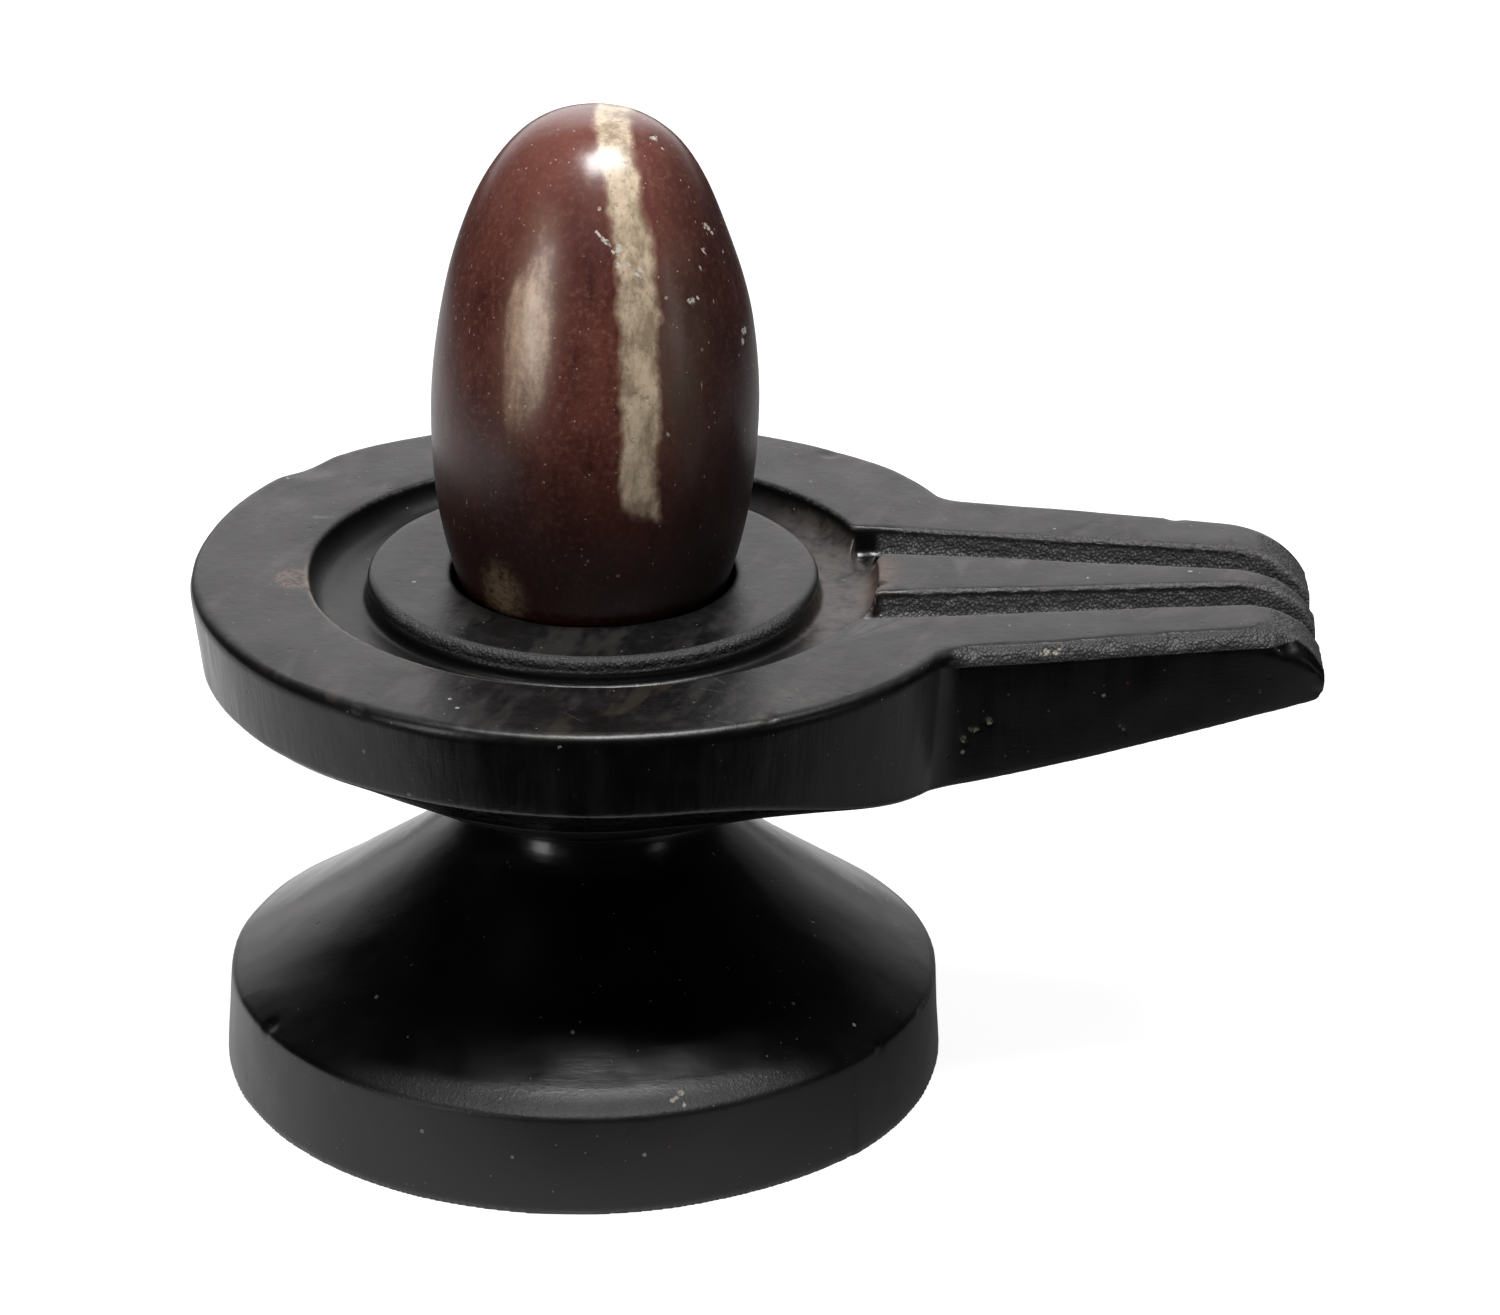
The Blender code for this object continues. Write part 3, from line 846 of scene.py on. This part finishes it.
def near_spot(place, centre, reach, stretch=(1, 1, 1)):
    """1 at a centre, falling to 0 at a reach."""
    offset = place.vector("SUBTRACT", centre).vector("MULTIPLY", stretch)
    return offset.vector("LENGTH", output=1).above(reach, 0.0)


def turned(place, degrees):
    """The same coordinates, turned about the Z axis."""
    settings = {"rotation_type": "Z_AXIS"}
    return place.node("ShaderNodeVectorRotate", settings, {"Vector": place, "Angle": math.radians(degrees)})


# %% [markdown]
# ## Black soapstone
#
# The base is nearly black all over. What tells its parts apart is how they shine: the level tops
# are satin with a fine sanded grain, the cone was rubbed until it gleams, the foot's band is
# duller, and the grooves still show the tooth of the file. The masks for these places have soft
# borders, in millimetres.

# %% Black stone: places
black = new_material("black_soapstone")
place = in_millimetres(coordinates(black.node_tree))
x, y, z = place.axis(0), place.axis(1), place.axis(2)
from_axis = ((x - PLATE_AHEAD / MM) ** 2.0 + y ** 2.0).math("SQRT")
from_middle = y.math("ABSOLUTE")
down = PLATE_TOP / MM - z
plate = z.above(30.0, 34.0)
level_top = down.above(0.7, 0.25)
band = z.above(10.6, 9.6)
cone = z.between(10.4, 30.0, 0.6)
cone_foot = z.between(10.2, 12.0, 0.8) * (1 - band) * y.above(-22.0, -34.0)
in_channel = from_axis.between(22.8, 28.4, 0.3) * down.above(0.5, 1.2) * plate
in_groove = x.above(29.2, 30.2) * from_middle.above(12.2, 11.4) * down.above(0.35, 0.9)
in_groove = in_groove * z.above(44.0, 45.0)
lip_front = from_axis.between(27.9, 28.9, 0.2) * y.above(-16.0, -23.0) * plate
on_wall = plate * down.above(0.9, 1.6) * from_axis.above(31.0, 33.0)
wall_of_disc = x.above(36.0, 30.0)
edge = attribute(place, "edge")

# %% [markdown]
# Along the edges the stone is worn to a pale grey, which is also a painted glint, and dust lies in the
# channel in front of the grooves. All colours are linear red, green and blue.

# %% Black stone: colour
DEEP_BLACK = (0.0012, 0.0011, 0.0012)
SOFT_BLACK = (0.0026, 0.0025, 0.0026)
SANDED_GREY = (0.014, 0.013, 0.0136)
SMEAR_GREY = (0.032, 0.0285, 0.027)
SMEAR_BROWN = (0.024, 0.0195, 0.014)
DUST = (0.060, 0.050, 0.044)
WORN_AND_GLINT_GREY = (0.125, 0.110, 0.092)
mottle = clouds(place, 0.16, 0.6)
grain = clouds(place, 2.0, 0.7)
patchy = clouds(place, 0.6, 0.65)
smeared = clouds(turned(place, 20), 0.22, 0.65, (1.0, 0.35, 1.0))
dusty = in_channel * x.above(16.0, 25.0) * y.above(-17.0, -7.0) * patchy.above(0.25, 0.65)
# Worn pale edges, whose grey also stands as a painted glint along them
worn_and_glinting = edge.above(0.30, 0.9) * grain.above(0.46, 0.60) * plate
colour = painted(
    mottle.above(0.35, 0.7).mixed(DEEP_BLACK, SOFT_BLACK),
    (level_top * patchy.above(0.45, 0.70), 0.35, SANDED_GREY),
    (level_top * smeared.above(0.51, 0.66), 0.5, SMEAR_GREY),
    (level_top * y.above(-20.0, -32.0) * smeared.above(0.46, 0.34), 0.7, SMEAR_BROWN),
    (dusty, 0.85, DUST),
    (worn_and_glinting, 0.6, WORN_AND_GLINT_GREY),
)

# %% [markdown]
# Three marks belong to one place only: rust where the middle ridge begins, a rusty stain on the
# rim, left of the channel, and a line of tan dirt along the channel's outer edge near it.

# %% Black stone: rust, stain and dirt line
RUST = (0.110, 0.048, 0.026)
STAIN = (0.092, 0.056, 0.040)
TAN_DIRT = (0.150, 0.125, 0.100)
rust = near_spot(place, (29.6, 0.0, 52.4), 7.0, (2.2, 1.0, 1.5)) * grain.above(0.35, 0.6)
stain = near_spot(place, (-28.6, -3.6, 53.5), 3.2, (1.0, 0.9, 1.0)).above(0.02, 0.45)
stain = stain * grain.above(0.42, 0.54) * patchy.above(0.30, 0.52)
dirt_line = from_axis.between(28.1, 28.9, 0.25) * x.above(2.0, -12.0) * y.above(6.0, -6.0) * level_top
dirt_line = dirt_line * patchy.above(0.30, 0.55)
colour = painted(colour, (rust, 0.8, RUST), (stain, 1.0, STAIN), (dirt_line, 0.8, TAN_DIRT))

# %% [markdown]
# Pale and red specks are sprinkled over the stone by the Voronoi cells above. The dots are small
# balls all through the stone, and only the few that the surface cuts through are seen. The tops
# have a few long scratches as well, in two directions.

# %% Black stone: specks and scratches
SPECK_GREY = (0.20, 0.19, 0.17)
SPECK_PALE = (0.26, 0.25, 0.22)
SPECK_RED = (0.14, 0.018, 0.012)
SCRATCH_GREY = (0.070, 0.067, 0.064)
speckled = grain.above(0.3, 0.5)
scratches = specks(turned(place, 25), 1.6, 0.06, 0.5, (0.035, 1, 1), "2D")
scratches = scratches + specks(turned(place, -40), 2.0, 0.07, 0.5, (1, 0.04, 1), "2D")
scratches = scratches * level_top
colour = painted(
    colour,
    (specks(place, 1.8, 0.13) * speckled, 0.6, SPECK_GREY),
    (specks(place, 4.8, 0.28, 0.6) * speckled, 1.0, SPECK_PALE),
    (specks(place.vector("ADD", (7.3, 2.1, 4.4)), 4.5, 0.20, 0.5), 0.8, SPECK_RED),
    (scratches * grain.above(0.35, 0.55), 0.5, SCRATCH_GREY),
)

# %% [markdown]
# The unsanded places are greyer than the rest. Their coarse tooth glints in the relief, and its glints are
# painted pale in the colour too, as is a grey glint band along the groove edges. The blows to the edges are
# pale where they are fresh, and the wall carries upright strokes of the file.

# %% Black stone: unsanded places, fresh blows and strokes
FILED_GREY = (0.036, 0.035, 0.0362)
GROOVE_EDGE_GLINT = (0.090, 0.082, 0.082)
FILED_GLINT = (0.110, 0.106, 0.111)
FRESH_BREAK = (0.30, 0.255, 0.195)
STROKE_GREY = (0.008, 0.0078, 0.0082)
near_slope = x.above(36.0, 38.0) * y.above(-11.0, -12.0) * down.between(0.15, 1.7, 0.1)
collar_front = from_axis.between(21.7, 22.9, 0.2) * y.above(-6.0, -14.0) * down.above(1.5, 1.1)
groove_edges = x.above(31.0, 33.0) * from_middle.above(12.2, 11.6) * edge.above(0.05, 0.3)
unsanded = (in_groove + near_slope + collar_front + groove_edges).math("MINIMUM", 1.0)
grit = cells(place, 1 / 3)
strokes = clouds(place, 0.55, 0.65, (1.0, 1.0, 0.10))
fresh = attribute(place, "pale").above(0.12, 0.45) * grain.above(0.34, 0.52)
colour = painted(
    colour,
    (unsanded, 0.7, FILED_GREY),
    # A painted grey glint band along the groove edges
    (groove_edges * grain.above(0.30, 0.60), 0.7, GROOVE_EDGE_GLINT),
    # Painted glints on the grains of the filed tooth
    (unsanded * grit.above(0.35, 0.12), 0.8, FILED_GLINT),
    (fresh, 0.85, FRESH_BREAK),
    (on_wall * strokes.above(0.50, 0.68) * wall_of_disc, 0.5, STROKE_GREY),
)

# %% [markdown]
# The roughness starts from one value, and each place adds its own share. The relief is a sum too:
# file marks, the tooth and grit of the unsanded places, strokes on the wall, and small pits all
# over.

# %% Black stone: shine and relief
roughness = 0.28 + level_top * 0.11 + band * 0.13 - cone * 0.06 + cone_foot * 0.34 + lip_front * 0.3
roughness = roughness + unsanded * 0.26 + in_channel * 0.14 + scratches * 0.15 + edge * plate * 0.12
roughness = roughness + (mottle - 0.5) * 0.16 + (patchy - 0.5) * level_top * 0.14
roughness = roughness + on_wall * (strokes - 0.5) * 0.3
roughness = roughness.math("MAXIMUM", 0.12).math("MINIMUM", 0.8)

file_marks = clouds(place, 1.3, 0.6, (0.35, 1.0, 2.6), detail=2.0)
tooth = clouds(place, 2.4, 0.75)
pits = specks(place.vector("ADD", (3.1, 8.2, 1.7)), 3.4, 0.30, 0.5)
relief = file_marks * 0.012 + tooth * (0.008 + unsanded * 0.05 + edge * 0.03 + cone_foot * 0.10)
relief = relief - unsanded * grit * 0.17 + (level_top + in_channel) * patchy * 0.05
relief = relief + on_wall * strokes * (0.03 + 0.06 * wall_of_disc) - pits * 0.04 - scratches * 0.03
inputs = {"Base Color": colour, "Roughness": roughness, "Normal": bump(relief, 0.7), "IOR": 1.5}
dress(base, black, inputs)

# %% [markdown]
# ## Red-brown river stone
#
# The stone is a fine jasper-like brown with lighter and darker clouds. Towards the socket it is darker,
# partly from the oil it has taken up and partly as painted shade. A pale vein, about four millimetres
# thick, runs over the crown and down the front, and stops short above the collar. Because a vein is a sheet
# inside the stone, it is drawn as a slab: the distance from a plane, with its edges shaken by a little
# noise.

# %% River stone: the vein's place
VEIN_CENTRE, VEIN_HALF = 5.95, 1.8
VEIN_SOFT = 0.45
brown = new_material("banded_river_stone")
place = in_millimetres(coordinates(brown.node_tree))
x, y, z = place.axis(0), place.axis(1), place.axis(2)
shaken = (clouds(place, 0.24, 0.6) - 0.5) * 4.5 + (clouds(place, 1.4, 0.6) - 0.5) * 0.4
vein_lean = (z - 80.0).math("MAXIMUM", 0.0) ** 2.0 * -0.0065
from_vein = (x - VEIN_CENTRE - vein_lean + shaken * 0.5).math("ABSOLUTE")
vein_foot = z + (x - VEIN_CENTRE) * 0.55 + shaken * 0.8
vein = from_vein.above(VEIN_HALF + VEIN_SOFT, VEIN_HALF - VEIN_SOFT) * vein_foot.above(65.0, 66.6)

# %% River stone: colour
BODY_DARK, BODY_LIGHT = (0.063, 0.0165, 0.0128), (0.145, 0.044, 0.0325)
STREAK_DARK, STREAK_LIGHT = (0.030, 0.0070, 0.0060), (0.165, 0.070, 0.052)
GRAIN_DARK, GRAIN_LIGHT = (0.034, 0.0085, 0.0070), (0.205, 0.090, 0.068)
VEIL_GREY = (0.110, 0.085, 0.062)
PLUM_SHADE = (0.028, 0.009, 0.012)
CROWN_SHEEN_RED = (0.210, 0.080, 0.064)
OILED_AND_SHADED_BROWN = (0.014, 0.0035, 0.0028)
RIGHT_FLANK_SHADE = (0.014, 0.0060, 0.0058)
slow = clouds(place, 0.09, 0.6, (1, 1, 0.5))
streaks = clouds(place, 0.35, 0.65, (1, 1, 0.22))
fine_grain = clouds(place, 1.5, 0.75, detail=4.0)
veil = near_spot(place, (9.5, -12.5, 79.0), 15.0, (2.0, 1.0, 0.8)) * streaks.above(0.2, 0.65)
shade = near_spot(place, (1.0, -11.5, 92.5), 8.0, (1.5, 1.0, 0.9)) * slow.above(0.2, 0.6)
colour = painted(
    slow.above(0.34, 0.64).mixed(BODY_DARK, BODY_LIGHT),
    (streaks.above(0.50, 0.70), 0.5, STREAK_LIGHT),
    (streaks.above(0.44, 0.30), 0.5, STREAK_DARK),
    (fine_grain.above(0.50, 0.64), 0.6, GRAIN_LIGHT),
    (fine_grain.above(0.46, 0.34), 0.35, GRAIN_DARK),
    (veil, 0.8, VEIL_GREY),
    (shade, 0.6, PLUM_SHADE),
    # Painted sheen: the crown is painted lighter, as the halo of its highlight
    (z.above(86.0, 99.0), 0.4, CROWN_SHEEN_RED),
    # Darker low on the stone: partly oil, partly painted shade
    (z.above(78.0, 58.0), 0.8, OILED_AND_SHADED_BROWN),
    # Painted shade on the right front flank, away from the light at the left
    (x.above(5.0, 14.0) * y.above(6.0, -2.0), 0.65, RIGHT_FLANK_SHADE),
)

# %% [markdown]
# To the left of the vein the stone has a warm, pale bloom, partly its own colour and partly a painted
# highlight of the light at the left, and a smaller one is low down beside the socket. The large one is an
# oval whose edge is frayed by the same streaks and grain.

# %% River stone: blooms and vein
BLOOM_SHEEN_HALO, BLOOM_SHEEN_PALE = (0.26, 0.145, 0.100), (0.76, 0.54, 0.37)
FOOT_PALE = (0.28, 0.195, 0.120)
VEIN_DARK, VEIN_LIGHT = (0.30, 0.225, 0.150), (0.68, 0.54, 0.39)
VEIN_GRAIN = (0.20, 0.135, 0.088)
RED_EDGE = (0.17, 0.050, 0.035)
# The large bloom is partly the stone's own colour and partly a painted highlight from the left
bloom_sheen_x = (x + 4.9 - (z - 83.0) * 0.14) / 2.6
bloom_sheen_z = (z - 83.5) / 9.5
bloom_sheen_far = bloom_sheen_x ** 2.0 + bloom_sheen_z ** 2.0 + (streaks - 0.5) * 2.6 + (fine_grain - 0.5) * 1.4
front = y.above(-2.0, -6.0)
foot_bloom = near_spot(place, (-7.8, -11.8, 55.2), 4.8, (1.2, 1.0, 0.75)) * fine_grain.above(0.25, 0.6)
vein_clouds = clouds(place, 0.4, 0.7, (1, 1, 0.5), detail=4.0).above(0.36, 0.66)
vein_colour = vein_clouds.mixed(VEIN_DARK, VEIN_LIGHT)
vein_colour = painted(vein_colour, (fine_grain.above(0.46, 0.34), 0.5, VEIN_GRAIN))
red_edge = from_vein.between(VEIN_HALF - 0.2, VEIN_HALF + 0.3, 0.25) * vein_foot.above(65.2, 66.2)
colour = painted(
    colour,
    (bloom_sheen_far.above(2.2, -0.2) * front, 0.6, BLOOM_SHEEN_HALO),
    (bloom_sheen_far.above(1.0, -0.6) * front, 0.85, BLOOM_SHEEN_PALE),
    (foot_bloom.above(0.0, 0.9), 0.9, FOOT_PALE),
    (vein, 1.0, vein_colour),
    (red_edge * fine_grain.above(0.42, 0.6), 0.6, RED_EDGE),
)

# %% [markdown]
# Where the polish is broken, the stone shows white: in the chips, in tiny dots and in short
# scratches that run up and down. The chips are hollows in the mesh, so the stored attribute finds
# them. A dull coat over the upper half spreads the light on the crown.

# %% River stone: chips, shine and relief
CHIP_WHITE = (0.60, 0.56, 0.50)
MARK_PALE = (0.50, 0.36, 0.28)
chipped = attribute(place, "pale").above(0.12, 0.45) * fine_grain.above(0.36, 0.50)
marks = specks(place, 1.3, 0.12) + specks(place, 2.7, 0.24)
marks = marks + specks(place.vector("ADD", (1.7, 5.2, 3.4)), 1.3, 0.10, 1.0, (1, 1, 0.15))
marks = marks * z.above(50.0, 66.0) * fine_grain.above(0.34, 0.50)
colour = painted(colour, (chipped, 0.95, CHIP_WHITE), (marks, 0.7, MARK_PALE))

roughness = 0.24 + (slow - 0.5) * 0.10 + (fine_grain - 0.5) * 0.16 + marks * 0.2 + vein * 0.05
roughness = roughness + z.above(78.0, 62.0) * 0.12
relief = fine_grain * 0.008 + streaks * 0.05 + slow * 0.25 - marks * 0.04 + chipped * 0.05
inputs = {"Base Color": colour, "Roughness": roughness.math("MAXIMUM", 0.08), "Normal": bump(relief, 0.6)}
inputs.update({"Coat Weight": z.above(62.0, 88.0) * 0.32, "Coat Roughness": 0.34, "IOR": 1.53})
dress(stone, brown, inputs)

# %% [markdown]
# ## Hand the pieces to the frame
#
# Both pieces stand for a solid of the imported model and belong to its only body.

# %% Pieces and their solids
for piece, node, slot in ((base, "yoni_base", "black_stone"), (stone, "lingam_stone", "river_stone")):
    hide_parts(node)
    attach(piece, "root")
print("pieces:", base.name, "and", stone.name)

# %% [markdown]
# ## Floor, light and camera
#
# Black polished stone is lit by what it mirrors. A bright world behind gives the level tops their
# grey sheen, a nearly dark one in front keeps the cone black, and a large soft box overhead puts
# the highlight on the crown. The floor is pale and bright enough to lose nearly all shadow.

# %% Floor
GROUND_SIZE = 8.0
FLOOR_GREY = (0.30, 0.30, 0.30, 1.0)
FLOOR_GLOW = 0.93
floor = add_mesh(bpy.ops.mesh.primitive_plane_add, "floor", size=GROUND_SIZE)
inputs = {"Base Color": FLOOR_GREY, "Roughness": 0.9, "Specular IOR Level": 0.0}
inputs.update({"Emission Color": (1.0, 1.0, 1.0, 1.0), "Emission Strength": FLOOR_GLOW})
dress(floor, new_material("pale_floor"), inputs)
floor.visible_glossy = floor.visible_diffuse = False

# %% [markdown]
# Around polished things, photographers lay cards that only the polish sees. This one lies just below the
# floor, white behind and beside the object and dark in front of it, so that the front of the black stone
# stays black. It also carries a painted shadow of the object: dimmer on its right half and darkest in a
# spot right of the foot.

# %% Floor card
CARD_DARK, CARD_WHITE = (0.02, 0.02, 0.022), (1.05, 1.05, 1.06)
below = (0, 0, -1 * MM)
card = add_mesh(bpy.ops.mesh.primitive_plane_add, "floor_card", size=GROUND_SIZE, location=below)
shades = new_material("card_shades")
on_card = coordinates(shades.node_tree)
x, y = on_card.axis(0), on_card.axis(1)
near_edge = y + (x * -0.25).math("MAXIMUM", x * 0.10)
lit = near_edge.above(-0.080, -0.040) * near_spot(on_card, (-0.04, 0.05, 0.0), 0.40)
# Painted shadow of the object: dimmer on the right half, darkest in a spot right of the foot
lit = lit * (1 - 0.5 * x.above(0.0, 0.08)) * (1 - 0.8 * near_spot(on_card, (0.055, 0.0, 0.0), 0.08))
inputs = {"Base Color": (0.0, 0.0, 0.0, 1.0), "Specular IOR Level": 0.0, "Emission Strength": 1.0}
dress(card, shades, inputs | {"Emission Color": lit.mixed(CARD_DARK, CARD_WHITE)})
card.visible_camera = card.visible_diffuse = card.visible_shadow = card.visible_transmission = False

# %% [markdown]
# The world is bright behind the object and up to a middle height, and dimmer at the right. The
# camera itself sees plain white.

# %% World
DARK_LEVEL, BRIGHT_LEVEL = 0.02, 1.55
WORLD_TINT = (1.0, 0.97, 0.985)
world = bpy.data.worlds.new("studio")
bpy.context.scene.world = world
world.use_nodes = True
direction = coordinates(world.node_tree, "Generated")
x, y, z = direction.axis(0), direction.axis(1), direction.axis(2)
behind = (y / (x ** 2.0 + y ** 2.0).math("SQRT")).above(0.62, 1.08) * z.above(0.85, 0.60)
behind = behind * (1 - 0.65 * x.above(0.15, 0.50))
seen = Value(world.node_tree, world.node_tree.nodes.new("ShaderNodeLightPath").outputs["Is Camera Ray"])
brightness = (DARK_LEVEL + behind * BRIGHT_LEVEL).math("MAXIMUM", seen)
background = world.node_tree.nodes["Background"]
feed(world.node_tree, background.inputs["Strength"], brightness)
feed(world.node_tree, background.inputs["Color"], seen.mixed(WORLD_TINT, (1.0, 1.0, 1.0)))
print("world has", len(world.node_tree.nodes), "nodes")

# %% [markdown]
# Besides the box overhead, two weak strips stand low at the left and at the right. They draw the
# long soft gleams on the stone's flanks.

# %% Lamps
def soft_box(name, direction, away, size, power):
    lamp = bpy.data.lights.new(name, "AREA")
    lamp.shape = "RECTANGLE"
    lamp.size, lamp.size_y = size
    lamp.energy = power
    holder = bpy.data.objects.new(name, lamp)
    bpy.context.scene.collection.objects.link(holder)
    middle = Vector((PLATE_AHEAD, 0, PLATE_TOP))
    holder.location = middle + away * Vector(direction).normalized()
    holder.rotation_euler = (middle - holder.location).to_track_quat("-Z", "Y").to_euler()
    print(name, "gives", power, "W from", away, "m")


soft_box("crown_box", (0.10, -0.18, 0.98), away=2.5, size=(1.35, 0.78), power=93.0)
soft_box("left_strip", (-0.68, -0.70, 0.20), away=0.9, size=(0.22, 0.50), power=1.4)
soft_box("right_strip", (0.86, -0.46, 0.10), away=0.9, size=(0.12, 0.36), power=0.14)

# %% [markdown]
# The camera looks down by about 24 degrees from 60 centimetres away, with a slight roll.

# %% Camera
VIEW_DOWN = math.radians(24.16)
VIEW_DISTANCE = 600 * MM
VIEW_ROLL = 0.0111
LOOK_AT = Vector((16.77 * MM, 0.0, 43.87 * MM))
FOCAL_PIXELS = 5949.0
PHOTO_WIDTH = 1500.0
SENSOR_WIDTH = 36.0

forward = Vector((0, math.cos(VIEW_DOWN), -math.sin(VIEW_DOWN)))
level_right = Vector((1, 0, 0))
level_up = Vector((0, math.sin(VIEW_DOWN), math.cos(VIEW_DOWN)))
right = math.cos(VIEW_ROLL) * level_right + math.sin(VIEW_ROLL) * level_up
up = math.cos(VIEW_ROLL) * level_up - math.sin(VIEW_ROLL) * level_right
lens = bpy.data.cameras.new("view")
lens.sensor_width = SENSOR_WIDTH
lens.sensor_fit = "HORIZONTAL"
lens.lens = FOCAL_PIXELS * SENSOR_WIDTH / PHOTO_WIDTH
lens.clip_start = 10 * MM
camera = bpy.data.objects.new("view", lens)
bpy.context.scene.collection.objects.link(camera)
eye = LOOK_AT - VIEW_DISTANCE * forward
camera.matrix_world = Matrix.Translation(eye) @ Matrix((right, up, -forward)).transposed().to_4x4()
bpy.context.scene.camera = camera
bpy.context.scene.view_settings.view_transform = "Standard"
print("camera", [round(value / MM) for value in eye], "lens", round(lens.lens, 1))
